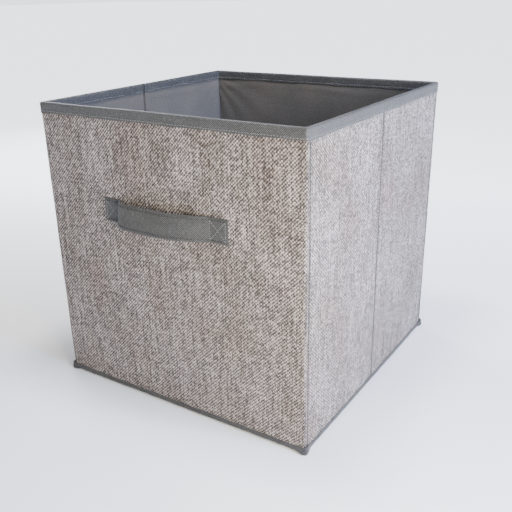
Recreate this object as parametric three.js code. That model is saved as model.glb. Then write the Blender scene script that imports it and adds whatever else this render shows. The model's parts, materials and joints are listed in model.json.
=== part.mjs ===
// A folding fabric storage bin: four cloth-covered board walls on cloth hinges, bound at the rim and the base, with a
// sewn tape handle on the front, a cloth floor and a base board. The two side walls are creased upright in the
// middle, so that they fold inwards and the front wall comes back against the rear one.
// Millimetres, +Z up. The origin is the middle of the footprint, the front is at -Y and the side walls at -X and +X.

import * as THREE from "three";

// Driving dimensions
const side = 310; // width, depth and height over the bindings
const rimDrop = 11; // height of the rim binding's two legs
const baseRise = 5.5; // height of the base binding's outer leg
const baseInnerRise = 4;
const tapeThickness = 0.6;
const tapeShoulder = 1.6; // outer radius where a binding folds over a wall's edge
const coverThickness = 0.6;
const wallBoardThickness = 1.8;
const liningThickness = 0.5;
const strapThickness = 1.2;
const strapWidth = 25;
const strapCentreZ = 209;
const strapLength = 150; // over the two sewn ends
const patchLength = 21.5;
const loopBulge = 12; // how far the middle of the loop stands out past its ends
const baseBoardSide = 297.2;
const baseBoardThickness = 3.8; // with its cloth faces

// Clearances
const layerGap = 0.1; // between two layers of one wall
const pocketGap = 0.5; // between the cover and the wall board, where the handle's backing lies
const cornerGap = 0.3; // between a hinge line and the side panel's edge
const creaseGap = 0.25; // between the crease and each half of a side wall
const stowGap = 0.2; // on either face of the base board when it stands behind the folded side walls

// Depths of the layers, measured inwards from a wall's outer face
const half = side / 2;
const coverDepth = tapeThickness + layerGap;
const boardDepth = coverDepth + coverThickness + pocketGap;
const liningDepth = boardDepth + wallBoardThickness + layerGap;
const wallThickness = liningDepth + liningThickness + layerGap + tapeThickness;

// Hinge lines of the fold, all upright: at the rear corners, the front corners and the side creases
const inside = half - wallThickness;
const rearHingeY = inside - baseBoardThickness - 2 * stowGap;
const frontHingeY = -inside + layerGap;
const creaseY = (rearHingeY + frontHingeY) / 2;

const cloth = (hex, roughness) => new THREE.MeshStandardMaterial({ color: hex, roughness, metalness: 0 });
const materials = {
  cover: () => cloth(0x9a9492, 0.9),
  binding: () => cloth(0x73767a, 0.75),
  lining: () => cloth(0x63656a, 0.85),
  strap: () => cloth(0x6c6c6b, 0.75),
  greyboard: () => cloth(0xa89b86, 0.95),
};

function piece(name, geometry, material) {
  const mesh = new THREE.Mesh(geometry, material());
  mesh.name = name;
  return mesh;
}

// A box between two corners
function block([x0, y0, z0], [x1, y1, z1]) {
  const geometry = new THREE.BoxGeometry(x1 - x0, y1 - y0, z1 - z0);
  geometry.translate((x0 + x1) / 2, (y0 + y1) / 2, (z0 + z1) / 2);
  return geometry;
}

// An outline drawn as (depth, height), carried along a wall from one place to another
function alongWall(outline, from, to) {
  const geometry = new THREE.ExtrudeGeometry(outline, { depth: to - from, bevelEnabled: false, curveSegments: 4 });
  const turn = new THREE.Matrix4().makeBasis(
    new THREE.Vector3(0, 1, 0),
    new THREE.Vector3(0, 0, 1),
    new THREE.Vector3(1, 0, 0),
  );
  geometry.applyMatrix4(turn);
  geometry.translate(from, 0, 0);
  return geometry;
}

// Tape folded over a wall's edge: two legs and a crown with rounded shoulders. It stands on z = 0, crown down.
function foldedTape(outerLeg, innerLeg) {
  const shoulder = tapeShoulder;
  const outline = new THREE.Shape();
  outline.moveTo(0, outerLeg);
  outline.lineTo(0, shoulder);
  outline.absarc(shoulder, shoulder, shoulder, Math.PI, 1.5 * Math.PI, false);
  outline.lineTo(wallThickness - shoulder, 0);
  outline.absarc(wallThickness - shoulder, shoulder, shoulder, 1.5 * Math.PI, 2 * Math.PI, false);
  outline.lineTo(wallThickness, innerLeg);
  outline.lineTo(wallThickness - tapeThickness, innerLeg);
  outline.lineTo(wallThickness - tapeThickness, shoulder);
  const innerRadius = shoulder - tapeThickness;
  outline.absarc(wallThickness - shoulder, shoulder, innerRadius, 2 * Math.PI, 1.5 * Math.PI, true);
  outline.lineTo(shoulder, tapeThickness);
  outline.absarc(shoulder, shoulder, innerRadius, 1.5 * Math.PI, Math.PI, true);
  outline.lineTo(tapeThickness, outerLeg);
  outline.closePath();
  return outline;
}

function baseBinding(name, from, to) {
  return piece(`${name}_base_binding`, alongWall(foldedTape(baseRise, baseInnerRise), from, to), materials.binding);
}

// The same tape turned over, so that its crown is the rim
function rimBinding(name, from, to) {
  const geometry = alongWall(foldedTape(rimDrop, rimDrop), from, to);
  geometry.rotateY(Math.PI);
  geometry.translate(from + to, 0, side);
  return piece(`${name}_rim_binding`, geometry, materials.binding);
}

// One layer of a wall: a flat sheet at its own depth
function layer(name, from, to, depth, thickness, edge, material) {
  const geometry = block([from, depth, edge], [to, depth + thickness, side - edge]);
  return piece(name, geometry, material);
}

// The five pieces that every rigid panel has, along a wall from one place to another
function panel(name, from, to) {
  const group = new THREE.Group();
  const seam = tapeShoulder + layerGap;
  const boardEdge = 3;
  const boardEnd = 1.5;
  group.add(
    layer(`${name}_cover`, from, to, coverDepth, coverThickness, seam, materials.cover),
    layer(`${name}_wall_board`, from + boardEnd, to - boardEnd, boardDepth, wallBoardThickness, boardEdge,
      materials.greyboard),
    layer(`${name}_lining`, from, to, liningDepth, liningThickness, seam, materials.lining),
    rimBinding(name, from, to),
    baseBinding(name, from, to),
  );
  return group;
}

// Stands a wall's group at its outer face: the wall runs along its own x, and its y points into the bin
function standWall(group, x, y, turn) {
  group.position.set(x, y, 0);
  group.rotation.z = turn;
  return group;
}

// A side wall is two panels with the crease between them. Along the wall, rearwards is positive on the right side
// and negative on the left.
function sideWall(name, x, turn, rearwards) {
  const group = new THREE.Group();
  const spans = {
    front: [frontHingeY + cornerGap, creaseY - creaseGap],
    rear: [creaseY + creaseGap, rearHingeY - cornerGap],
  };
  for (const [end, span] of Object.entries(spans)) {
    const [from, to] = span.map((y) => y * rearwards).sort((a, b) => a - b);
    group.add(panel(`${name}_${end}`, from, to));
  }
  return standWall(group, x, 0, turn);
}

// The strip of cloth that fills the rear corner between the rear wall and a side panel, where the corner folds
function rearCornerWeb(name, hand) {
  const outer = hand * half;
  const inner = hand * (inside + layerGap);
  const geometry = block(
    [Math.min(outer, inner), rearHingeY + layerGap, 0],
    [Math.max(outer, inner), inside - layerGap, side],
  );
  return piece(`${name}_rear_corner_web`, geometry, materials.cover);
}

// The loop of the handle: a strip bowed outwards as a raised cosine, leaning so that its lower edge stands out most
function handleLoop() {
  const reach = strapLength / 2 - patchLength - cornerGap;
  const standOff = 4.5; // of the loop's ends from the front face
  const lean = 0.15;
  const steps = 24;
  const bow = (x) => -half - standOff - loopBulge * Math.cos((Math.PI * x) / (2 * reach)) ** 2;
  const along = Array.from({ length: steps + 1 }, (_, i) => reach * ((2 * i) / steps - 1));
  const front = along.map((x) => new THREE.Vector2(x, bow(x) - strapThickness / 2));
  const back = along.map((x) => new THREE.Vector2(x, bow(x) + strapThickness / 2));
  const outline = new THREE.Shape([...front, ...back.reverse()]);
  const geometry = new THREE.ExtrudeGeometry(outline, { depth: strapWidth, bevelEnabled: false });
  geometry.translate(0, 0, -strapWidth / 2);
  geometry.applyMatrix4(new THREE.Matrix4().makeShear(0, 0, 0, 0, 0, lean));
  geometry.translate(0, 0, strapCentreZ);
  return piece("handle_loop", geometry, materials.strap);
}

// A sewn end of the handle, flat on the front cover
function handlePatch(name, hand) {
  const face = -half + coverDepth - layerGap;
  const ends = [hand * (strapLength / 2), hand * (strapLength / 2 - patchLength)];
  const geometry = block(
    [Math.min(...ends), face - strapThickness, strapCentreZ - strapWidth / 2],
    [Math.max(...ends), face, strapCentreZ + strapWidth / 2],
  );
  return piece(`handle_${name}_patch`, geometry, materials.strap);
}

// The strip behind the front cover that the handle's stitches pull against
function handleBacking() {
  const overhang = 4;
  const face = -half + coverDepth + coverThickness + layerGap;
  const geometry = block(
    [-strapLength / 2 - overhang, face, strapCentreZ - strapWidth / 2 - overhang],
    [strapLength / 2 + overhang, face + pocketGap - 2 * layerGap, strapCentreZ + strapWidth / 2 + overhang],
  );
  return piece("handle_backing", geometry, materials.lining);
}

// The cloth floor, sewn into the base bindings all round
function floorCloth() {
  const reach = inside - 0.2;
  return piece("floor_cloth", block([-reach, -reach, tapeThickness], [reach, reach, 2 * tapeThickness]),
    materials.lining);
}

// The base board lies on the floor cloth: greyboard between two faces of lining cloth
function baseBoard() {
  const group = new THREE.Group();
  const faceThickness = 0.3;
  const reach = baseBoardSide / 2;
  const turnIn = 1;
  const bottom = 2 * tapeThickness + layerGap;
  const top = bottom + baseBoardThickness;
  const sheet = (name, low, high, edge, material) =>
    piece(name, block([edge - reach, edge - reach, low], [reach - edge, reach - edge, high]), material);
  group.add(
    sheet("base_board_under_cloth", bottom, bottom + faceThickness, 0, materials.lining),
    sheet("base_board_core", bottom + faceThickness + layerGap, top - faceThickness - layerGap, turnIn,
      materials.greyboard),
    sheet("base_board_top_cloth", top - faceThickness, top, 0, materials.lining),
  );
  return group;
}

const bin = new THREE.Group();
const quarter = Math.PI / 2;
bin.add(
  standWall(panel("front", -half, half), 0, -half, 0),
  standWall(panel("back", -half, half), 0, half, Math.PI),
  sideWall("right", half, quarter, 1),
  sideWall("left", -half, -quarter, -1),
  rearCornerWeb("right", 1),
  rearCornerWeb("left", -1),
  handleLoop(),
  handlePatch("left", -1),
  handlePatch("right", 1),
  handleBacking(),
  floorCloth(),
  baseBoard(),
);

export default bin;
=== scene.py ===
import json
import math
import bpy
import numpy as np
from mathutils import Matrix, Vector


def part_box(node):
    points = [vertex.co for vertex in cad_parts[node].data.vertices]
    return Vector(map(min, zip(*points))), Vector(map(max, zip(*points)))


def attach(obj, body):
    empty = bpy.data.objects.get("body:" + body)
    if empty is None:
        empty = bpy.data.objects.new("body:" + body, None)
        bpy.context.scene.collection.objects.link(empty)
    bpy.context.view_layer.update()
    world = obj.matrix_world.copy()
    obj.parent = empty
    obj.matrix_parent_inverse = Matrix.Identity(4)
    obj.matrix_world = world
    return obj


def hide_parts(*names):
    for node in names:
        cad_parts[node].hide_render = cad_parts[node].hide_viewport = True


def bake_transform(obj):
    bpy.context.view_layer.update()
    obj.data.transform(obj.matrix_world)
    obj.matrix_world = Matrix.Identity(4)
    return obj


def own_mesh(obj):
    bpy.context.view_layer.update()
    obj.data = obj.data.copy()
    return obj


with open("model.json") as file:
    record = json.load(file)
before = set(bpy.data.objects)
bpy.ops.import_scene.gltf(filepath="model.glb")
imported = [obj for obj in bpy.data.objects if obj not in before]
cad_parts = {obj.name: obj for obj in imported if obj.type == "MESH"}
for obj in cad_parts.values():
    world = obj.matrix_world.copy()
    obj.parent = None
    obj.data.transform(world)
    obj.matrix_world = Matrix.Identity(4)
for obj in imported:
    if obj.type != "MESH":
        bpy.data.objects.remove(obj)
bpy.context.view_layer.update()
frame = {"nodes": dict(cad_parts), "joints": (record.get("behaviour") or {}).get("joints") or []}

# Fabric storage bin: cloth covers and linings over board walls, folded tape on every edge, one sewn handle.
# Lengths below are millimetres until a mesh is made; toMetres turns them at the last step.
toMetres = 0.001
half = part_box("back_rim_binding")[1].y / toMetres          # outer face of every wall
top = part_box("back_rim_binding")[1].z / toMetres
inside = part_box("back_rim_binding")[0].y / toMetres
wallThickness = half - inside
side = 2 * half
loopLength = 4 * side                # s runs this far round the bin, from the front left corner


def makeObject(name, points, faces, uv=None, sharpAngle=50, shade=None):
    # the faces are turned outwards if the closed mesh's signed volume comes out negative
    points = np.asarray(points, float).reshape(-1, 3)
    volume = 0.0
    for face in faces:
        quad = np.asarray(face, int)
        for k in range(1, quad.shape[1] - 1):
            a, b, c = points[quad[:, 0]], points[quad[:, k]], points[quad[:, k + 1]]
            volume += float((a * np.cross(b, c)).sum())
    order = -1 if volume < 0 else 1
    polygons = [row for face in faces for row in np.asarray(face, int)[:, ::order].tolist()]
    mesh = bpy.data.meshes.new(name)
    mesh.from_pydata((points * toMetres).tolist(), [], polygons)
    mesh.polygons.foreach_set("use_smooth", np.ones(len(polygons), bool))
    if uv is not None:
        layer = mesh.uv_layers.new(name="cloth")
        corner = np.zeros(len(mesh.loops), int)
        mesh.loops.foreach_get("vertex_index", corner)
        layer.data.foreach_set("uv", (np.asarray(uv, float).reshape(-1, 2)[corner] * toMetres).ravel())
    if shade is not None:
        attribute = mesh.attributes.new("seamShade", "FLOAT", "POINT")
        attribute.data.foreach_set("value", np.asarray(shade, np.float32).ravel())
    mesh.set_sharp_from_angle(angle=math.radians(sharpAngle))
    piece = bpy.data.objects.new(name, mesh)
    bpy.context.scene.collection.objects.link(piece)
    return piece


def gridFaces(rows, columns, start=0, closed=False):
    # quads of a rows x columns grid of points; closed joins the last column to the first
    i, j = np.meshgrid(np.arange(rows - 1), np.arange(columns if closed else columns - 1), indexing="ij")
    k = (j + 1) % columns
    quads = np.stack([i * columns + j, (i + 1) * columns + j, (i + 1) * columns + k, i * columns + k], -1)
    return quads.reshape(-1, 4) + start


def slab(name, upper, lower, uv, sharpAngle=50, shade=None):
    # a sheet with thickness: two grids of the same size, joined round their border
    rows, columns = upper.shape[:2]
    count = rows * columns
    number = np.arange(count).reshape(rows, columns)
    border = np.concatenate([number[0, :-1], number[:-1, -1], number[-1, :0:-1], number[:0:-1, 0]])
    ahead = np.roll(border, -1)
    rim = np.stack([border, border + count, ahead + count, ahead], -1)
    faces = [gridFaces(rows, columns), gridFaces(rows, columns, count)[:, ::-1], rim[:, ::-1]]
    points = np.concatenate([upper.reshape(-1, 3), lower.reshape(-1, 3)])
    both = np.concatenate([uv.reshape(-1, 2)] * 2)
    shades = None if shade is None else np.concatenate([shade.ravel()] * 2)
    return makeObject(name, points, faces, both, sharpAngle, shades)


def loft(name, rings, uv, sharpAngle=50, shade=None):
    # closed outlines, one after the other along a path, with both ends capped
    rows, columns = rings.shape[:2]
    ends = [np.arange(columns)[None, :], (np.arange(columns) + (rows - 1) * columns)[None, ::-1]]
    faces = [gridFaces(rows, columns, closed=True)[:, ::-1], ends[0][:, ::-1], ends[1][:, ::-1]]
    return makeObject(name, rings, faces, uv, sharpAngle, shade)


def wallPoint(s, depth):
    # a place on the walls' plan: s along the outside, depth inwards from the outer face. Straight runs are
    # joined by corners of a straight, a quarter circle and a straight; the radius falls from outside to inside.
    corner = 6.0
    run = np.mod(s - corner, loopLength)
    turn, q = np.divmod(run, side)
    reach = corner - depth
    radius = 2.6 - 1.7 * depth / wallThickness
    lead = reach - radius
    along = np.clip((q - side + 2 * corner) / (2 * corner), 0, 1) * (2 * lead + radius * math.pi / 2)
    angle = np.clip((along - lead) / radius, 0, math.pi / 2)
    after = np.clip(along - lead - radius * math.pi / 2, 0, None)
    x = np.minimum(along, lead) + radius * np.sin(angle)
    y = -reach + radius * (1 - np.cos(angle)) + after
    straight = q < side - 2 * corner
    x = np.where(straight, q - half + corner, half - corner + x)
    y = np.where(straight, depth - half, y - half + corner)
    c, n = np.cos(turn * math.pi / 2), np.sin(turn * math.pi / 2)
    return np.stack([c * x - n * y, n * x + c * y], -1)


def samples(start, end, step):
    # even steps, with fine ones through the corners
    n = max(2, int(math.ceil((end - start) / step)) + 1)
    fine = np.concatenate([k * side + np.linspace(-6, 6, 25) for k in range(-1, 5)]
                          + [c + np.linspace(-4, 4, 21) for c in (rightCrease, leftCrease)])
    fine = fine[(fine > start + 0.05) & (fine < end - 0.05)]
    even = np.linspace(start, end, n)
    spare = np.min(np.abs(even[:, None] - np.append(fine, 1e6)[None, :]), 1) > 0.3
    spare[[0, -1]] = True
    return np.unique(np.concatenate([even[spare], fine]))


def placed(s, depth, z):
    # a point on the walls from how far round, how deep and how high it is
    return np.concatenate([wallPoint(s, depth), z[..., None]], -1)


# s of the hinge lines, from the joints' own places
hingeOf = {j["name"]: np.array(j["pos_m"]) / toMetres for j in frame["joints"] if j["type"] == "hinge"}
rightSeam = side + half + hingeOf["left_front_corner"][1]              # where the open pivot is
rightCrease = side + half + hingeOf["right_crease"][1]
rightRear = side + half + hingeOf["right_rear_corner"][1]
leftRear = 3 * side + half - hingeOf["fold"][1]
leftCrease = 3 * side + half - hingeOf["left_crease"][1]
leftSeam = 3 * side + half - hingeOf["left_front_corner"][1]
web = 5.0                                                              # half width of the cloth over a hinge
creases = (rightCrease, leftCrease)
seams = (rightSeam + 0.6, leftSeam - 0.6, rightRear + 4.6, leftRear - 4.6)      # upright rows at the corners

panels = {
    "front": (leftSeam + web - loopLength, rightSeam),
    "right_front": (rightSeam + 0.08, rightCrease - web),
    "right_rear": (rightCrease + web, rightRear - web),
    "back": (rightRear + web, leftRear - web),
    "left_rear": (leftRear + web, leftCrease - web),
    "left_front": (leftCrease + web, leftSeam - web),
}
hinges = {
    "right_crease": (rightCrease, "right_front", "right_rear"),
    "right_rear_corner": (rightRear, "right_rear", "back"),
    "left_rear_corner": (leftRear, "back", "left_rear"),
    "left_crease": (leftCrease, "left_rear", "left_front"),
    "left_front_corner": (leftSeam, "left_front", "front"),
}


def bump(x, width):
    # a smooth hump, 1 in its middle and e to the minus one at a width away
    return np.exp(-(x / width) ** 2)


def wrap(s, centre):
    # signed distance along the wall from a place, the short way round
    return np.mod(s - centre + loopLength / 2, loopLength) - loopLength / 2


def pinch(s):
    # the wall's layers draw together at a crease, where there is no board: 1, less a steep-sided hump at each
    near = sum(np.exp(-(wrap(s, centre) / 1.5) ** 4) for centre in creases)
    return 1 - 0.57 * near


def coverRelief(s, z):
    # how far the cover stands out: each wall slightly crowned, slow unevenness, creases and seams pulled in,
    # and small puckers below the rim and above the base
    a = np.mod(s, side) / half - 1
    b = z / top * 2 - 1
    crown = coverSettings["crown"] * (1 - np.abs(a) ** 3) * (1 - np.abs(b) ** 4)
    slow = (coverSettings["slow"] * np.sin(s / 41 + 0.7) * np.sin(z / 53 + s / 90)
            + coverSettings["quick"] * np.sin(s / 17 + z / 29) * np.sin(z / 21 - 1))
    edge = np.clip((top - z) / 30, 0, 1) * np.clip(z / 25, 0, 1)
    out = crown + slow * edge
    for centre in creases:
        away = wrap(s, centre)
        out += -0.6 * bump(away, 1.3) - 0.35 * bump(away, 8) + 0.35 * bump(np.abs(away) - 4, 2.2)
    for centre in seams:
        out += -0.34 * bump(wrap(s, centre), 0.9)
    nearRim, nearBase = np.exp(-(top - z - 10) / 7), np.exp(-(z - 5) / 6)
    ripple = np.sin(s / 2.3 + 1.2 * np.sin(s / 19)) * (0.6 + 0.4 * np.sin(s / 31 + 2))
    out += 0.13 * ripple * np.clip(nearRim, 0, 1) + 0.16 * ripple * np.clip(nearBase, 0, 1)
    # one slanting dent, low on the right side wall by the rear corner
    dent = np.exp(-((wrap(s, rightRear - 22) / 9) ** 2 + ((z - 62 + 0.5 * wrap(s, rightRear - 22)) / 3) ** 2))
    return out - coverSettings["dent"] * dent


def liningRelief(s, z):
    # how far the lining bags into the bin: drag lines fan out of the corners under the rim, with slow folds
    a = np.mod(s, side) / half - 1
    drop = top - 11 - z
    out = liningSettings["bag"] * (1 - np.abs(a) ** 4) * np.clip(drop / 40, 0, 1)
    for centre, hand, size in fans:
        away = np.clip(wrap(s, centre) * hand, 0.0, None)
        angle = np.arctan2(np.clip(drop, 0, None) + 4, away + 5)
        reach = np.hypot(away, drop)
        fade = np.exp(-reach / liningSettings["fanReach"]) * np.clip(reach / 14, 0, 1)
        fan = np.sin(angle * 17 + 0.8 * np.sin(reach / 23)) * fade
        out += size * liningSettings["fan"] * fan * (away > 0)
    roll = drop - 7 - 3 * np.sin(s / 47)
    out += 0.45 * bump(roll, 3.2) * (0.6 + 0.4 * np.sin(s / 23))
    out += 0.30 * np.sin(s / 33 + z / 71) * np.sin(z / 47 + 1) * np.clip(drop / 25, 0, 1)
    for centre in creases:
        out += -0.3 * bump(wrap(s, centre), 1.2) + 0.25 * bump(np.abs(wrap(s, centre)) - 4, 2.0)
    return np.clip(out, -0.25, 3) * np.clip(z / 20, 0, 1)


def coverShade(s, z):
    # 1 in the stitched lines, where the cloth is drawn in: painted shade in the crease and seam grooves, with
    # their needle holes, and painted shade a little under the rim tape and above the base tape
    line = sum(0.62 * bump(wrap(s, c), 1.2) + 0.18 * bump(wrap(s, c), 4) for c in creases)
    # painted shade along the near corner's edge
    line = line + 0.3 * bump(wrap(s, side) - 1.2, 1.4)                 # the near corner's own edge
    line = line + sum(0.8 * bump(wrap(s, c), 1.5) + 0.12 * bump(wrap(s, c), 4) for c in seams)
    return line + 0.35 * bump(top - 11.4 - z, 1.0) + 0.30 * bump(z - 6.2, 1.2)


def liningShade(s, z):
    # painted shade in the creases and the corners of the lining, and along the line where the rim tape is sewn
    # down
    line = sum(0.95 * bump(wrap(s, c), 1.0) for c in creases)
    line = line + sum(0.75 * bump(wrap(s, k * side), 6.2) for k in range(4))
    return line + 0.40 * bump(top - 11.2 - z, 1.1)


# depth and thickness in the wall, the margin at the top and the base, the grid's steps, and how uneven it lies
coverSettings = {"depth": 0.7, "thickness": 0.6, "low": 1.7, "step": 2.0, "rise": 2.6,
                 "crown": 0.38, "slow": 0.22, "quick": 0.12, "dent": 0.9}
# the corners that drag lines fan out of, to which side of each, and how strong
fans = ((3 * side, -1, 1.0), (2 * side, 1, 0.8), (3 * side, 1, 0.35), (2 * side, -1, 0.5))
liningSettings = {"depth": 3.75, "thickness": 0.5, "low": 1.7, "step": 2.4, "rise": 2.6,
                  "bag": 0.35, "fan": 0.4, "fanReach": 75}


def wallCloth(name, start, end, settings, relief, shade, inwards):
    # a sheet over a stretch of wall; relief moves it outwards for a cover and inwards for a lining
    s = samples(start, end, settings["step"])
    z = np.linspace(settings["low"], top - settings["low"], int((top - 2 * settings["low"]) / settings["rise"]))
    s, z = np.meshgrid(s, z, indexing="ij")
    moved = relief(s, z) * (1 if inwards else -1)
    near = settings["depth"] * pinch(s) + moved * (pinch(s) if inwards else 1)
    upper = placed(s, near, z)
    lower = placed(s, near + settings["thickness"] * pinch(s), z)
    return slab(name, upper, lower, np.stack([s, z], -1), shade=shade(s, z))


def tapeOutline(outerLeg, innerLeg, thickness, puff):
    # (depth, height) of folded tape, crown at height 0 and legs at positive heights. It runs from the outer
    # leg's end over the crown, which is half an ellipse, to the inner leg's end, and back along the inner side.
    angle = np.linspace(math.pi, 0, 13)
    mid, radius = wallThickness / 2, wallThickness / 2
    crown = np.stack([mid + radius * np.cos(angle), 1.7 - 1.7 * np.sin(angle) * (1 + puff)], -1)
    inner = np.stack([mid + (radius - thickness) * np.cos(angle[::-1]), 1.9 - 1.2 * np.sin(angle)], -1)
    legs = np.linspace(0, 1, 6)[:, None]
    outerFace = np.array([[0, outerLeg]]) * (1 - legs) + crown[:1] * legs
    innerFace = crown[-1:] * (1 - legs) + np.array([[wallThickness, innerLeg]]) * legs
    innerBack = np.array([[wallThickness - thickness, innerLeg]]) * (1 - legs) + inner[:1] * legs
    outerBack = inner[-1:] * (1 - legs) + np.array([[thickness, outerLeg]]) * legs
    return np.concatenate([outerFace[:-1], crown, innerFace[1:], innerBack[:-1], inner, outerBack[1:]])


rimSettings = {"outerLeg": 11.0, "innerLeg": 10.5, "thickness": 0.6, "puff": 0.0, "step": 2.0,
               "lapAt": 1103.0, "lap": 18.0}           # where the tape's two ends meet, and their overlap
baseSettings = {"outerLeg": 5.6, "innerLeg": 4.0, "thickness": 0.7, "puff": 0.05, "step": 1.5,
                "lift": 1.3, "swell": 2.1}             # lift between corners, and how far these stand out


def cornerSwell(s):
    # 1 at the four corners, fading along the walls
    away = np.mod(s + half, side) - half
    return np.exp(-(np.abs(away) / 8.5) ** 3)


def rimLap(s):
    # 1 where the rim tape's two ends lie one on the other, 0 elsewhere
    away = wrap(s, rimSettings["lapAt"])
    return (np.tanh(away / 0.5) - np.tanh((away - rimSettings["lap"]) / 0.5)) / 2


def tapeCloth(s, outline):
    # the tape's flat coordinates: how far round the bin, and how far along the outline
    travel = np.concatenate([[0], np.cumsum(np.hypot(*np.diff(outline, axis=0).T))])
    return np.stack(np.broadcast_arrays(s, travel[None, :]), -1)


def rimTape(name, start, end):
    # the outline carried round the rim: its legs wave and ripple in and out, its crown sags a little, and it is
    # thicker at the lap; painted shade at the lap's ends, along a fold inside, at creases and in the rear left
    # corner
    r = rimSettings
    outline = tapeOutline(r["outerLeg"], r["innerLeg"], r["thickness"], r["puff"])
    s = samples(start, end, r["step"])[:, None]
    depth, down = outline[:, 0][None, :], outline[:, 1][None, :]
    low = np.clip(down / r["outerLeg"], 0, 1) ** 2
    wave = 0.30 * np.sin(s / 13 + 1) + 0.22 * np.sin(s / 5.1) + 0.12 * np.sin(s / 2.2)
    outer = depth < wallThickness / 2
    ripple = 0.10 * np.sin(s / 3.1 + 0.5 * np.sin(s / 11)) * low - 0.12 * low * (1 - low) * 4
    out = np.where(outer, -1, 1) * ripple
    sag = 0.35 * np.sin(s / 37 + 0.4) * np.sin(s / 91)
    lap = rimLap(s)
    out = out + np.where(outer, -0.22, 0.22) * lap
    depthNow = np.clip(depth + out, -0.25, wallThickness + 0.3) * pinch(s)
    z = top - down - wave * low - (0.25 + sag) * (1 - low) * 0.5 - 0.4 * lap * low
    ends = bump(wrap(s, r["lapAt"]), 0.7) + bump(wrap(s, r["lapAt"] + r["lap"]), 0.7)
    fold = 0.35 * bump(down - 7.6, 0.5) * (depth > wallThickness / 2)
    corner = 0.45 * bump(wrap(s, 3 * side), 2)
    # painted shade: lap ends, inner fold, creases and the rear left corner
    shade = np.clip(0.8 * ends + fold + 0.6 * (1 - pinch(s)) + corner, 0, 1)
    uv = tapeCloth(s, outline)
    s, depthNow, z = np.broadcast_arrays(s, depthNow, z)
    return loft(name, placed(s, depthNow, z), uv, 40, shade)


def baseTape(name, start, end):
    # the outline carried round the base, with small folds in its outer leg; it swells outwards and down at the
    # corners, where it is gathered, and those four lobes are what the bin stands on
    b = baseSettings
    outline = tapeOutline(b["outerLeg"], b["innerLeg"], b["thickness"], b["puff"])
    s = samples(start, end, b["step"])[:, None]
    depth, up = outline[:, 0][None, :], outline[:, 1][None, :]
    swell = cornerSwell(s)
    fold = 0.22 * np.sin(s / 2.7 + 2 * np.sin(s / 17)) * (1 + swell)
    outer = np.where(depth < wallThickness / 2, -1.0, 0.0)
    out = (0.15 + b["swell"] * swell + 0.5 * fold * (up < 4)) * (1 - 0.4 * up / b["outerLeg"])
    depthNow = (depth + outer * out) * pinch(s)
    stretch = 1 + 0.55 * swell
    z = b["lift"] * (1 - swell) + up * stretch + 0.2 * np.sin(s / 6) * (up > 4) + 0.12 * fold * (up < 2)
    z = np.maximum(z, 0.02)
    uv = tapeCloth(s, outline)
    s, depthNow, z = np.broadcast_arrays(s, depthNow, z)
    return loft(name, placed(s, depthNow, z), uv, 40)


bindingRow = {"pitch": 3.1, "inset": 1.9, "length": 2.1, "radius": 0.22}
seamRow = {"pitch": 3.0, "length": 1.9, "radius": 0.5, "sink": -0.3, "low": 8.0, "margin": 12.0}
innerRow = {"radius": 0.3, "sink": 0.5, "margin": 2.0}


def unit(rows):
    # each row divided by its own length
    return rows / np.linalg.norm(rows, axis=1)[:, None]


def stitches(name, middle, along, outward, length, radius, sink=0.3):
    # one short capsule for each stitch: rings of six points at five stations, bowed so that its ends dive in
    station = np.array([-1.0, -0.8, 0, 0.8, 1.0])
    girth = np.array([0.25, 0.8, 1.0, 0.8, 0.25]) * radius
    bow = radius * (0.55 - 1.15 * station ** 2) - sink * radius
    turn = np.arange(6) * math.pi / 3
    across = np.cross(along, outward)
    m, a, o, c = (v[:, None, None, :] for v in (middle, along, outward, across))
    points = (m + a * (station * length / 2)[None, :, None, None]
              + o * (bow[:, None] + girth[:, None] * np.sin(turn))[None, :, :, None]
              + c * (girth[:, None] * np.cos(turn))[None, :, :, None])
    count = len(middle)
    one = gridFaces(5, 6, closed=True)
    starts = (np.arange(count) * 30)[:, None, None]
    caps = np.stack([np.arange(6), np.arange(24, 30)[::-1]])
    faces = [(one[None] + starts).reshape(-1, 4), (caps[None] + starts).reshape(-1, 6)]
    return makeObject(name, points.reshape(-1, 3), faces, None, 80)


def rowOnWall(s, z, depth, inwards=False):
    # middles, directions and outward normals for stitches that run along the wall
    ahead = wallPoint(s + 0.4, depth) - wallPoint(s - 0.4, depth)
    outward = wallPoint(s, depth - 0.3) - wallPoint(s, depth + 0.3)
    level = np.zeros((len(s), 1))
    ahead, outward = (unit(np.concatenate([v, level], -1)) for v in (ahead, outward))
    return placed(s, depth, z), ahead, outward * (-1 if inwards else 1)


def joinRows(rows):
    # several rows' middles, directions and normals as one row's
    return [np.concatenate(parts) for parts in zip(*rows)]


def bindingStitches(name, start, end):
    # the row that closes the rim tape, seen on both faces of the wall
    pitch = bindingRow["pitch"]
    s = np.arange(math.ceil(start / pitch), math.floor(end / pitch) + 1) * pitch
    s = s[(s > start + 0.6) & (s < end - 0.6)]
    if not len(s):
        return None
    z = np.full(len(s), top - rimSettings["outerLeg"] + bindingRow["inset"]) + 0.12 * np.sin(s / 7)
    rows = joinRows([rowOnWall(s, z, np.full(len(s), -0.05)),
                     rowOnWall(s, z + 0.3, (wallThickness - 0.12) * pinch(s), True)])
    return stitches(name, *rows, bindingRow["length"], bindingRow["radius"])


def seamStitches(name, place, depth, inwards, relief, changes=None):
    # an upright row down a seam or crease, following the cloth's relief; changes replace seamRow's values
    row = {**seamRow, **(changes or {})}
    z = np.arange(row["low"], top - row["margin"], row["pitch"])
    s = np.full(len(z), place)
    sit = depth * pinch(s) + relief(s, z) * (pinch(s) if inwards else -1)
    middle, _, outward = rowOnWall(s, z, sit, inwards)
    along = np.tile([0.0, 0.0, 1.0], (len(z), 1))
    return stitches(name, middle, along, outward, row["length"], row["radius"], row["sink"])


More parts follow.
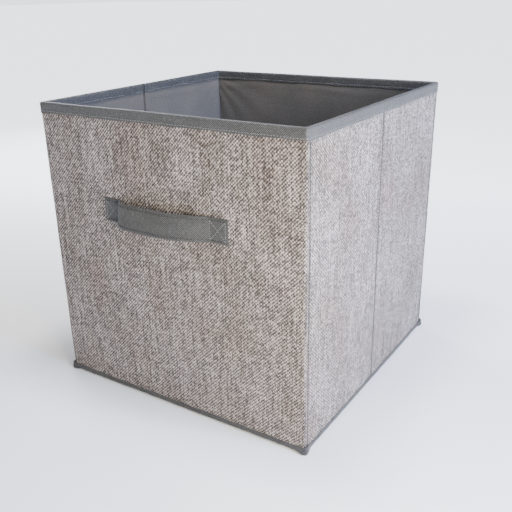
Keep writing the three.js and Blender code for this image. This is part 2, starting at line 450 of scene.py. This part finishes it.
patchLow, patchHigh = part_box("handle_left_patch")
handle = {"thickness": 1.2, "bulge": 12.4, "lean": 2.1, "rowInset": 2.9,
          "pitch": 3.3, "boxPitch": 2.4, "bend": 9.0,             # bend is how far in from a patch the strap gives
          "face": patchHigh.y / toMetres, "centreZ": (patchLow.z + patchHigh.z) / 2 / toMetres,
          "width": (patchHigh.z - patchLow.z) / toMetres,
          "end": -patchLow.x / toMetres, "loop": -patchHigh.x / toMetres}
edgeRow = {"length": 1.7, "radius": 0.62, "sink": -0.3}
boxRow = {"length": 1.7, "radius": 0.28, "sink": 0.1}
rowAcross = 1 - 2 * handle["rowInset"] / handle["width"]        # of the long rows, as a share of half the width


def strapStandOff(x, across):
    # distance of the strap's middle from the cover: flat on the patches, with a full bow between them that
    # leaves the wall steeply; across is -1 at the lower edge, which leans further out, and 1 at the upper
    u = np.clip(np.abs(x) / handle["loop"], 0, 1)
    bow = np.where(x < 0, (1 - u ** 7) ** 0.5, (1 - u ** 1.9) ** 0.95)
    return 0.68 + handle["bulge"] * bow - handle["lean"] * across * bow


def strapPoint(x, across, lift):
    # a place on the strap's middle surface, moved by lift along its outward normal
    e = 0.05
    slope = (strapStandOff(x - e, across) - strapStandOff(x + e, across)) / (2 * e)
    size = np.sqrt(1 + slope ** 2)
    droop = -0.5 * (1 - np.clip(np.abs(x) / handle["loop"], 0, 1) ** 2)
    z = handle["centreZ"] + across * handle["width"] / 2 + droop
    y = handle["face"] - strapStandOff(x, across)
    return np.stack(np.broadcast_arrays(x + slope / size * lift, y - lift / size, z), -1)


def strapHalf(name, start, end):
    # outline of the folded tape's section, carried along the strap
    t = handle["thickness"] / 2
    flat = np.linspace(-0.965, 0.965, 17)
    edge = np.linspace(-math.pi / 2, math.pi / 2, 7)
    roll = 1 + 0.18 * (bump(np.abs(flat) - 0.86, 0.09))
    channel = -0.22 * bump(np.abs(flat) - rowAcross, 0.045)
    outerFace = np.stack([flat, t * (roll + channel)], -1)
    rightEdge = np.stack([0.965 + 0.035 * np.cos(edge), -t * np.sin(edge)], -1)[1:-1]
    innerFace = np.stack([flat[::-1], -t * roll], -1)
    leftEdge = np.stack([-0.965 - 0.035 * np.cos(edge), t * np.sin(edge)], -1)[1:-1]
    outline = np.concatenate([outerFace, rightEdge, innerFace, leftEdge])
    n = int(abs(end - start) / 1.1)
    bend = handle["loop"] * np.sign(start + end)
    x = np.unique(np.concatenate([np.linspace(start, end, n), bend + np.linspace(-3, 3, 25)]))
    x = x[(x >= min(start, end)) & (x <= max(start, end))][:, None]
    x, across, lift = np.broadcast_arrays(x, outline[:, 0][None, :], outline[:, 1][None, :])
    rings = strapPoint(x, across, lift)
    uv = np.stack([x, across * handle["width"] / 2], -1)
    # painted shade along the two stitched rows, with their needle holes
    shade = 0.28 * bump(np.abs(across) - rowAcross, 0.045)
    return loft(name, rings, uv, 45, shade)


def strapStitches(x, across, along=(1.0, 0.0)):
    # stitches that lie on the strap; along is (dx, dacross), other than its default for columns and diagonals
    dx, da = along
    lift = handle["thickness"] / 2 - 0.02
    e = 0.3
    a = strapPoint(x - dx * e, across - da * e, lift)
    b = strapPoint(x + dx * e, across + da * e, lift)
    up = strapPoint(x, across, lift + 0.3) - strapPoint(x, across, lift - 0.3)
    return strapPoint(x, across, lift), unit(b - a), unit(up)


def linear(hexColour):
    # sRGB hex to linear light
    parts = [int(hexColour[i:i + 2], 16) / 255 for i in (1, 3, 5)]
    return [v / 12.92 if v <= 0.04045 else ((v + 0.055) / 1.055) ** 2.4 for v in parts] + [1.0]


def addNode(tree, kind, inputs=None, **settings):
    # one node; an input that is another node's socket is linked, and any other is set
    made = tree.nodes.new(kind)
    for key, value in settings.items():
        setattr(made, key, value)
    for key, value in (inputs or {}).items():
        if isinstance(value, bpy.types.NodeSocket):
            tree.links.new(value, made.inputs[key])
        else:
            made.inputs[key].default_value = value
    return made


def newMaterial(name, roughness, sheen=0.0):
    # a cloth-like surface: weak gloss, and sheen for loose fibre ends
    material = bpy.data.materials.new(name)
    material.use_nodes = True
    tree = material.node_tree
    shader = tree.nodes["Principled BSDF"]
    shader.inputs["Roughness"].default_value = roughness
    shader.inputs["Sheen Weight"].default_value = sheen
    shader.inputs["Sheen Roughness"].default_value = 0.6
    shader.inputs["Specular IOR Level"].default_value = 0.35
    return material, tree, shader


def ramp(tree, factor, stops):
    # straight blends between colours at places from 0 to 1
    made = addNode(tree, "ShaderNodeValToRGB", {"Fac": factor})
    band = made.color_ramp
    while len(band.elements) < len(stops):
        band.elements.new(0.5)
    for element, (place, colour) in zip(band.elements, stops):
        element.position = place
        element.color = linear(colour)
    return made.outputs["Color"]


def clothPlace(tree, width, height, turn=0.0, shift=(0, 0, 0)):
    # the cloth's own flat coordinates, divided so that one pattern step is width by height millimetres
    flat = addNode(tree, "ShaderNodeUVMap", uv_map="cloth")
    scale = (1 / (width * toMetres), 1 / (height * toMetres), 1)
    mapping = addNode(tree, "ShaderNodeMapping", {"Vector": flat.outputs["UV"]})
    if turn:
        first = addNode(tree, "ShaderNodeMapping", {"Vector": flat.outputs["UV"], "Rotation": (0, 0, turn)})
        tree.links.new(first.outputs["Vector"], mapping.inputs["Vector"])
    mapping.inputs["Scale"].default_value = scale
    mapping.inputs["Location"].default_value = shift
    return mapping.outputs["Vector"]


def mix(tree, kind, factor, a, b):
    # colour a blended with b by a factor; sockets 0, 6 and 7 are the factor and the two colours
    made = addNode(tree, "ShaderNodeMix", data_type="RGBA", blend_type=kind)
    for socket, value in ((0, factor), (6, a), (7, b)):
        if isinstance(value, bpy.types.NodeSocket):
            tree.links.new(value, made.inputs[socket])
        else:
            made.inputs[socket].default_value = value
    return made.outputs[2]


def noise(tree, vector, detail=2.0, rough=0.5, scale=1.0):
    # soft random blotches about one step across, from 0 to 1 and mostly near a half
    return addNode(tree, "ShaderNodeTexNoise", {"Vector": vector, "Scale": scale, "Detail": detail,
                                                "Roughness": rough}).outputs["Fac"]


def stripes(tree, turn, pitch, scale, wander, **detail):
    # soft parallel bands: the Wave texture repeats every 0.314 of its own units at Scale 1
    place = clothPlace(tree, pitch, pitch, turn=turn)
    inputs = {"Vector": place, "Scale": scale, "Distortion": wander, "Detail": 1.0, **detail}
    return addNode(tree, "ShaderNodeTexWave", inputs, wave_type="BANDS", bands_direction="X").outputs["Fac"]


def addRelief(tree, shader, height, strength, distance):
    # the same pattern as a fine bump; distance is in metres
    relief = addNode(tree, "ShaderNodeBump", {"Height": height, "Strength": strength, "Distance": distance})
    tree.links.new(relief.outputs["Normal"], shader.inputs["Normal"])


def seamDarkened(tree, colour, dark):
    # painted shade and needle holes along the sewn lines, and painted shade in folds and corners, from the piece's
    # own seamShade
    near = addNode(tree, "ShaderNodeAttribute", attribute_name="seamShade").outputs["Fac"]
    return mix(tree, "MIX", near, colour, linear(dark))


# millimetres: a printed crossing, the dash it is drawn out to, the twill's pitch, slubs, weft bars and clouds
linen = {"crossing": 1.2, "dash": 2.4, "twill": 2.45, "slub": (1.7, 60), "cross": (22, 1.9), "clouds": (50, 80)}


def linenPrintCloth():
    # spunbond non-woven printed as melange linen: each thread crossing is a light or dark dot, drawn out into
    # short dashes along weft and warp, with upright slubs, slanting twill shade and slow warm, green and pale
    # clouds; matte with a faint fuzz. A crossing is drawn 1.2 mm wide, coarser than the print's, so it shows.
    material, tree, shader = newMaterial("melangeLinenPrintNonwoven", 0.88, 0.12)

    def dots(width, height, shift):
        # one random value for each cell of the grid
        place = clothPlace(tree, width, height, shift=shift)
        cell = addNode(tree, "ShaderNodeVectorMath", {0: place}, operation="FLOOR").outputs["Vector"]
        made = addNode(tree, "ShaderNodeTexWhiteNoise", {"Vector": cell}, noise_dimensions="2D")
        return made.outputs["Value"]

    weft = dots(linen["dash"], linen["crossing"], (0.3, 0.1, 0))
    warp = dots(linen["crossing"], linen["dash"], (31.2, 7.6, 0))
    slub = noise(tree, clothPlace(tree, *linen["slub"], shift=(5, 3, 0)), 2.0, 0.55)
    cross = noise(tree, clothPlace(tree, *linen["cross"], shift=(2, 9, 0)), 2.0, 0.55)
    twill, counter = (stripes(tree, turn, linen["twill"], 0.314, wander, **{"Detail Scale": 0.4})
                      for turn, wander in ((0.785, 0.2), (-0.785, 0.3)))
    parts = ((0.34, weft), (0.34, warp), (0.42, twill), (0.24, counter), (0.80, slub), (0.28, cross))
    grain = 0.0
    for share, part in parts:
        added = addNode(tree, "ShaderNodeMath", {0: part, 1: share, 2: grain}, operation="MULTIPLY_ADD")
        grain = added.outputs[0]
    level = addNode(tree, "ShaderNodeMapRange", {"Value": grain, "From Min": 0.70, "From Max": 1.75}).outputs[0]
    colour = ramp(tree, level, [(0.08, "#262120"), (0.34, "#524b48"), (0.52, "#7d7471"), (0.68, "#a9a19e"),
                                (0.90, "#d6d0ce")])
    clouds = noise(tree, clothPlace(tree, *linen["clouds"]), 3.0, 0.55)
    tint = ramp(tree, clouds, [(0.34, "#cbbdb7"), (0.45, "#d3d0c9"), (0.54, "#dfdbda"), (0.66, "#f3eeef")])
    colour = mix(tree, "MULTIPLY", 0.85, colour, tint)
    # painted shade in the seams and creases and under the bindings, with the needle holes
    colour = seamDarkened(tree, colour, "#352e2d")
    tree.links.new(colour, shader.inputs["Base Color"])
    addRelief(tree, shader, level, 0.35, 0.0003)
    return material


tapePits = {"pitch": 1.35, "slant": 0.80}                       # millimetres, and radians off the tape's length


def embossedTape(name, dark, mid, light, strength, roughness, sheen):
    # spunbond tape embossed by a cross-hatched roller: small diamond pits give a satin sparkle; the fibres pool
    # into faint clouds. Pits are drawn 1.35 mm apart, as the usual 0.9 mm is too fine to show.
    material, tree, shader = newMaterial(name, roughness, sheen)
    slant = tapePits["slant"]
    one, two = (stripes(tree, turn, tapePits["pitch"], 0.31, 0.5) for turn in (slant, -slant))
    pits = addNode(tree, "ShaderNodeMath", {0: one, 1: two}, operation="MULTIPLY").outputs[0]
    fibre = noise(tree, clothPlace(tree, 3.2, 1.1), 4.0, 0.65)
    clouds = noise(tree, clothPlace(tree, 26, 9), 2.0, 0.5)
    level = addNode(tree, "ShaderNodeMath", {0: pits, 1: 0.55, 2: fibre}, operation="MULTIPLY_ADD").outputs[0]
    colour = ramp(tree, level, [(0.32, dark), (0.62, mid), (0.95, light)])
    shade = ramp(tree, clouds, [(0.35, "#d2d2d2"), (0.65, "#ffffff")])
    colour = mix(tree, "MULTIPLY", 0.6, colour, shade)
    # painted shade from seamShade: the rim tape's lap ends, inner fold, creases and rear left corner, and the
    # strap's stitched rows
    colour = seamDarkened(tree, colour, "#1b1b1c")
    tree.links.new(colour, shader.inputs["Base Color"])
    addRelief(tree, shader, level, strength, 0.0003)
    return material


def liningNonwoven():
    # plain grey spunbond, smooth calendered side out: fine random fibres, small point bonds, slight satin
    material, tree, shader = newMaterial("greySpunbondLining", 0.72, 0.10)
    fibre = noise(tree, clothPlace(tree, 2.2, 2.2), 5.0, 0.7)
    bond = addNode(tree, "ShaderNodeTexVoronoi", {"Vector": clothPlace(tree, 1.6, 1.6), "Scale": 1.0,
                                                  "Randomness": 0.35}, feature="F1").outputs["Distance"]
    cloud = noise(tree, clothPlace(tree, 55, 70), 3.0, 0.5)
    level = addNode(tree, "ShaderNodeMath", {0: bond, 1: 0.30, 2: fibre}, operation="MULTIPLY_ADD").outputs[0]
    colour = ramp(tree, level, [(0.30, "#45423e"), (0.60, "#55514c"), (0.90, "#66625c")])
    shade = ramp(tree, cloud, [(0.35, "#dfe1e3"), (0.65, "#fffdfa")])
    colour = mix(tree, "MULTIPLY", 0.7, colour, shade)
    # painted shade in the lining's creases and corners and under the rim tape
    colour = seamDarkened(tree, colour, "#2c2d30")
    tree.links.new(colour, shader.inputs["Base Color"])
    addRelief(tree, shader, level, 0.25, 0.0002)
    return material


def threadMaterial(name, dark, light):
    # spun polyester thread: two plies twist round each other; each stitch has slanting light and dark bands
    # painted on, a painted highlight on the plies and painted shade between them
    material, tree, shader = newMaterial(name, 0.6, 0.1)
    place = addNode(tree, "ShaderNodeTexCoord").outputs["Object"]
    plies = addNode(tree, "ShaderNodeTexWave", {"Vector": place, "Scale": 420.0, "Distortion": 1.0},
                    wave_type="BANDS", bands_direction="DIAGONAL").outputs["Fac"]
    tree.links.new(ramp(tree, plies, [(0.2, dark), (0.8, light)]), shader.inputs["Base Color"])
    return material


def greyboardMaterial():
    # recycled greyboard: warm grey with light and dark fibre flecks, dull
    material, tree, shader = newMaterial("recycledGreyboard", 0.92)
    place = addNode(tree, "ShaderNodeTexCoord").outputs["Object"]
    fleck = noise(tree, place, 6.0, 0.75, 900.0)
    cloud = noise(tree, place, 2.0, 0.5, 60.0)
    colour = ramp(tree, fleck, [(0.30, "#8c8172"), (0.55, "#a89b86"), (0.75, "#bdb29f")])
    colour = mix(tree, "MULTIPLY", 0.5, colour, ramp(tree, cloud, [(0.3, "#d8d4cc"), (0.7, "#ffffff")]))
    tree.links.new(colour, shader.inputs["Base Color"])
    addRelief(tree, shader, fleck, 0.2, 0.0002)
    return material


coverFinish = linenPrintCloth()
rimFinish = embossedTape("embossedBindingTape", "#1b1b1b", "#383838", "#6c6d6d", 0.9, 0.5, 0.05)
baseFinish = embossedTape("embossedBaseTape", "#151516", "#28292a", "#4a4b4d", 0.6, 0.6, 0.15)
strapFinish = embossedTape("embossedHandleTape", "#1e1e1d", "#393937", "#666663", 0.9, 0.52, 0.05)
liningFinish = liningNonwoven()
darkThread = threadMaterial("charcoalThread", "#0d0d0f", "#232326")
tapeThread = threadMaterial("tapeGreyThread", "#6a6c6f", "#8e9194")
boardFinish = greyboardMaterial()


def finishPiece(piece, material, home, replaced=()):
    # home is a body, to which the piece is attached, or two bodies and two points, which are not used: the piece
    # is then only baked where it stands
    piece.data.materials.clear()
    piece.data.materials.append(material)
    if isinstance(home, str):
        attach(piece, home)
    else:
        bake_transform(piece)
    if replaced:
        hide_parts(*replaced)
    return piece


def homeOf(label):
    # a panel's own body; or the two bodies beside a hinge, and the ends of its strip as the bend's points
    if label in panels:
        return label
    place = hinges[label][0]
    ends = [wallPoint(np.array([place + d]), np.array([2.4]))[0] for d in (-web, web)]
    first, second = hinges[label][1:]
    points = [(float(p[0]) * toMetres, float(p[1]) * toMetres, top / 2 * toMetres) for p in ends]
    return (first, second, points[0], points[1])


stretches = dict(panels)
for label, (place, _, _) in hinges.items():
    stretches[label] = (place - web, place + web)

sheetsMade = {}
trims = {label: [] for label in stretches}
for label, (start, end) in stretches.items():
    home = homeOf(label)
    solid = label in panels
    cover = wallCloth(f"{label}_cover_cloth", start, end, coverSettings, coverRelief, coverShade, False)
    finishPiece(cover, coverFinish, home, [f"{label}_cover"] if solid else [])
    lining = wallCloth(f"{label}_lining_cloth", start, end, liningSettings, liningRelief, liningShade, True)
    finishPiece(lining, liningFinish, home, [f"{label}_lining"] if solid else [])
    rim = rimTape(f"{label}_rim_tape", start, end)
    finishPiece(rim, rimFinish, home, [f"{label}_rim_binding"] if solid else [])
    base = baseTape(f"{label}_base_tape", start, end)
    finishPiece(base, baseFinish, home, [f"{label}_base_binding"] if solid else [])
    row = bindingStitches(f"{label}_rim_stitches", start, end)
    if row:
        finishPiece(row, tapeThread, home)
    sheetsMade[label] = (cover, lining)
    trims[label] = [rim, base] + ([row] if row else [])
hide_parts("right_rear_corner_web")
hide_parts("left_rear_corner_web")
print("walls made")

outerRows = (
    ("right_crease_outer", rightCrease, "right_crease"),
    ("left_crease_outer", leftCrease, "left_crease"),
    ("right_seam", seams[0], "right_front"),
    ("left_seam", seams[1], "left_front_corner"),
    ("right_rear_seam", seams[2], "right_rear_corner"),
    ("left_rear_seam", seams[3], "left_rear_corner"),
)
for label, place, home in outerRows:
    row = seamStitches(f"{label}_stitches", place, coverSettings["depth"], False, coverRelief)
    finishPiece(row, darkThread, homeOf(home))
for home, place in (("right_crease", rightCrease), ("left_crease", leftCrease)):
    depth = liningSettings["depth"] + liningSettings["thickness"]
    row = seamStitches(f"{home}_inner_stitches", place, depth, True, liningRelief, innerRow)
    finishPiece(row, darkThread, homeOf(home))
print("seams sewn")

# the handle: each half of the strap runs from its sewn end on the front wall to the loose loop
for hand, label in ((-1, "left"), (1, "right")):
    bend = [(hand * x * toMetres, handle["face"] * toMetres, handle["centreZ"] * toMetres)
            for x in (handle["loop"], handle["loop"] - handle["bend"])]
    home = ("front", "handle", *bend)
    strap = strapHalf(f"handle_{label}_strap", 0.0, hand * handle["end"])
    finishPiece(strap, strapFinish, home,
                ["handle_loop", f"handle_{label}_patch"] if hand < 0 else [f"handle_{label}_patch"])
    x = hand * (np.arange(0, handle["end"] - 2.5, handle["pitch"]) + handle["pitch"] / 2)
    rows = joinRows([strapStitches(x, np.full(len(x), c)) for c in (-rowAcross, rowAcross)])
    edges = stitches(f"handle_{label}_edge_stitches", *rows, **edgeRow)
    finishPiece(edges, darkThread, home)
    # the box: two columns across the strap, and a cross between them
    near, far = handle["loop"] + 1.4, handle["end"] - 2.4
    reach = rowAcross * handle["width"] / 2
    steps = np.arange(-reach + 1.2, reach - 0.6, handle["boxPitch"]) / handle["width"] * 2
    rows = [strapStitches(np.full(len(steps), hand * c), steps, (0.0, 1 / 12.5)) for c in (near, far)]
    u = np.linspace(0.06, 0.94, 10)
    for up in (1, -1):
        slant = (hand * 0.76, up * 0.76 * 2 * rowAcross / (far - near))
        rows.append(strapStitches(hand * (near + (far - near) * u), (2 * u - 1) * rowAcross * up, slant))
    box = stitches(f"handle_{label}_box_stitches", *joinRows(rows), **boxRow)
    finishPiece(box, tapeThread, home)
print("handle sewn on")


boardSettings = {"rounding": 300, "uneven": 0.06, "channel": 0.12}       # mm, but for the power of the rounding


def baseBoardSleeve():
    # the base board in its cloth: a flat slab whose edges round off by a high power of the distance out
    lowCorner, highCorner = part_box("base_board_under_cloth")
    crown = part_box("base_board_top_cloth")[1].z / toMetres
    floor = lowCorner.z / toMetres
    reach = highCorner.x / toMetres
    edge = 1 - np.geomspace(1e-4, 0.03, 10)
    line = np.unique(np.concatenate([-edge, np.linspace(-0.965, 0.965, 70), edge, [-1.0, 1.0]]))
    u, v = np.meshgrid(line, line, indexing="ij")
    out = np.maximum(np.abs(u), np.abs(v))
    swell = np.sqrt(np.clip(1 - out ** boardSettings["rounding"], 0, 1))
    mid, thick = (crown + floor) / 2, (crown - floor) / 2
    dimple = (boardSettings["uneven"] * np.sin(u * 9) * np.sin(v * 8 + 1) * swell
              - boardSettings["channel"] * bump((1 - out) * reach - 6, 1.2))
    upper = np.stack([u * reach, v * reach, mid + thick * swell + dimple - 0.1], -1)
    lower = np.stack([u * reach, v * reach, mid - thick * swell], -1)
    flat = np.stack([u * reach, v * reach], -1)
    # both grids meet round the border, so its points are shared and the slab closes without a rim
    n = len(line)
    number = np.arange(n * n).reshape(n, n)
    under = number + n * n
    for index in (np.s_[0, :], np.s_[-1, :], np.s_[:, 0], np.s_[:, -1]):
        under[index] = number[index]
    quads = np.stack([under[:-1, :-1], under[1:, :-1], under[1:, 1:], under[:-1, 1:]], -1).reshape(-1, 4)
    faces = [gridFaces(n, n), quads[:, ::-1]]
    used, where = np.unique(np.concatenate([f.ravel() for f in faces]), return_inverse=True)
    points = np.concatenate([upper.reshape(-1, 3), lower.reshape(-1, 3)])[used]
    uv = np.concatenate([flat.reshape(-1, 2)] * 2)[used]
    count = len(faces[0]) * 4
    return makeObject("base_board_sleeve", points,
                      [where[:count].reshape(-1, 4), where[count:].reshape(-1, 4)], uv, 60)


sleeve = baseBoardSleeve()
finishPiece(sleeve, liningFinish, "base_board",
            ["base_board_top_cloth", "base_board_under_cloth"])


# mm caught inside the base tape, lift off the ground, slack, thickness; keep is the share left when folded
floorSettings = {"caught": 2.2, "lift": 0.14, "slack": 0.22, "thickness": 0.45, "keep": 0.07}


def floorCloth():
    # the sewn floor: slack between the bindings, lying just under the base board, its edges caught in the tape
    lowCorner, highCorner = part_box("floor_cloth")
    reach = highCorner.x / toMetres + floorSettings["caught"]
    line = np.linspace(-1, 1, 90)
    u, v = np.meshgrid(line, line, indexing="ij")
    slack = (1 - np.abs(u) ** 6) * (1 - np.abs(v) ** 6)
    wave = floorSettings["slack"] * slack * (np.sin(u * 11 + 2 * v) * np.sin(v * 9) - 0.4)
    z = lowCorner.z / toMetres + floorSettings["lift"] + wave
    upper = np.stack([u * reach, v * reach, z + floorSettings["thickness"]], -1)
    lower = np.stack([u * reach, v * reach, z], -1)
    return slab("sewn_floor", upper, lower, np.stack([u * reach, v * reach], -1))


floor = floorCloth()
finishPiece(floor, liningFinish, "back", ["floor_cloth"])
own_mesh(floor)

for node, piece in frame["nodes"].items():
    if node.endswith("wall_board") or node == "base_board_core":
        for slotOf in piece.material_slots:
            slotOf.material = boardFinish
    if node == "handle_backing":
        for slotOf in piece.material_slots:
            slotOf.material = liningFinish
print("base board and floor made")


def cutWidth(start, end, depth):
    # the sum of the steps along the plan, in metres
    plan = wallPoint(samples(start, end, 1.0), depth)
    return float(np.hypot(*np.diff(plan, axis=0).T).sum()) * toMetres


for label, (start, end) in stretches.items():
    for piece, settings, extra in zip(sheetsMade[label], (coverSettings, liningSettings), (trims[label], [])):
        width = cutWidth(start, end, settings["depth"])

# place in millimetres, angles in degrees, lens in millimetres on a 36 mm frame
view = {"place": (402.253, -610.241, 408.819), "azimuth": 33.212, "elevation": 21.621, "roll": -1.193,
        "lens": 46.88, "frame": 36}
az, el, roll = (math.radians(view[k]) for k in ("azimuth", "elevation", "roll"))
back = np.array([math.sin(az) * math.cos(el), -math.cos(az) * math.cos(el), math.sin(el)])
right = np.array([math.cos(az), math.sin(az), 0])
up = np.cross(back, right)
tiltedRight = right * math.cos(roll) + up * math.sin(roll)
tiltedUp = up * math.cos(roll) - right * math.sin(roll)
camera = bpy.data.objects.new("camera", bpy.data.cameras.new("camera"))
bpy.context.scene.collection.objects.link(camera)
camera.data.lens = view["lens"]
camera.data.sensor_width = view["frame"]
matrix = Matrix.Identity(4)
for row in range(3):
    matrix[row][0], matrix[row][1], matrix[row][2] = tiltedRight[row], tiltedUp[row], back[row]
    matrix[row][3] = view["place"][row] * toMetres
camera.matrix_world = matrix
bpy.context.scene.camera = camera


studio = {"reach": 30, "paper": "#f1f3f8", "glow": "#f1f4fb", "nearGlow": 0.04, "farGlow": 2.6,
          "sky": "#f0f3f9", "skyLights": 0.15, "skySeen": 2.4, "overhead": 0.62, "overheadAngle": 35}


def studioFloor():
    # pale paper, flat and wide; it glows most behind the bin and far off, and hardly at all in front of it
    line = np.linspace(-studio["reach"], studio["reach"], 41)
    x, y = np.meshgrid(line, line, indexing="ij")
    points = np.stack([x, y, np.zeros_like(x)], -1).reshape(-1, 3)
    mesh = bpy.data.meshes.new("studio_floor")
    mesh.from_pydata(points.tolist(), [], gridFaces(len(line), len(line)).tolist())
    floorObject = bpy.data.objects.new("studio_floor", mesh)
    bpy.context.scene.collection.objects.link(floorObject)
    material, tree, shader = newMaterial("paleStudioPaper", 0.9)
    shader.inputs["Base Color"].default_value = linear(studio["paper"])
    shader.inputs["Emission Color"].default_value = linear(studio["glow"])
    place = addNode(tree, "ShaderNodeTexCoord").outputs["Object"]
    behind = addNode(tree, "ShaderNodeVectorMath", {0: place, 1: (-0.45, 0.89, 0)}, operation="DOT_PRODUCT")
    away = addNode(tree, "ShaderNodeVectorMath", {0: place}, operation="LENGTH").outputs[1]
    far = addNode(tree, "ShaderNodeMath", {0: away, 1: 0.9}, operation="SUBTRACT").outputs[0]
    back = addNode(tree, "ShaderNodeMath", {0: behind.outputs[1], 1: far}, operation="MAXIMUM").outputs[0]
    glow = addNode(tree, "ShaderNodeMapRange", {"Value": back, "From Min": -0.05, "From Max": 0.7,
                                                "To Min": studio["nearGlow"], "To Max": studio["farGlow"]})
    tree.links.new(glow.outputs[0], shader.inputs["Emission Strength"])
    mesh.materials.append(material)


studioFloor()
world = bpy.data.worlds.new("studio")
bpy.context.scene.world = world
world.use_nodes = True
studioTree = world.node_tree
sky = studioTree.nodes["Background"]
sky.inputs["Color"].default_value = linear(studio["sky"])
seen = addNode(studioTree, "ShaderNodeLightPath").outputs["Is Camera Ray"]      # brighter seen than it lights
strength = addNode(studioTree, "ShaderNodeMapRange", {"Value": seen, "To Min": studio["skyLights"],
                                                      "To Max": studio["skySeen"]}).outputs[0]
studioTree.links.new(strength, sky.inputs["Strength"])


def softLight(name, place, aim, size, power, colour):
    # a square lamp at a place, turned so that its own back axis points away from its aim
    lamp = bpy.data.objects.new(name, bpy.data.lights.new(name, "AREA"))
    bpy.context.scene.collection.objects.link(lamp)
    lamp.data.shape = "SQUARE"
    lamp.data.size = size
    lamp.data.energy = power
    lamp.data.color = linear(colour)[:3]
    away = np.array(place) - np.array(aim)
    away = away / np.linalg.norm(away)
    across = np.cross([0, 0, 1], away)
    across = across / np.linalg.norm(across)
    over = np.cross(away, across)
    pose = Matrix.Identity(4)
    for row in range(3):
        pose[row][0], pose[row][1], pose[row][2], pose[row][3] = across[row], over[row], away[row], place[row]
    lamp.matrix_world = pose


# place and aim in metres, side of the square in metres, watts and colour
lamps = {
    "key_right": ((1.25, -0.10, 0.78), (0.1, 0, 0.16), 0.5, 50, "#c6d6ff"),
    "near_corner": ((0.50, -0.42, 0.30), (0.12, -0.12, 0.17), 0.2, 5.8, "#fff4d8"),
    "left_rear": ((-1.2, 0.75, 0.75), (-0.1, 0.05, 0.14), 0.6, 16, "#f6f6fa"),
    "inside_fill": ((0.02, -0.08, 0.95), (0, 0, 0), 0.15, 6.8, "#fffcf8"),
}
for name, settings in lamps.items():
    softLight(name, *settings)
overhead = bpy.data.objects.new("overhead", bpy.data.lights.new("overhead", "SUN"))       # straight down
bpy.context.scene.collection.objects.link(overhead)
overhead.data.energy = studio["overhead"]
overhead.data.angle = math.radians(studio["overheadAngle"])
print("camera and lights set")
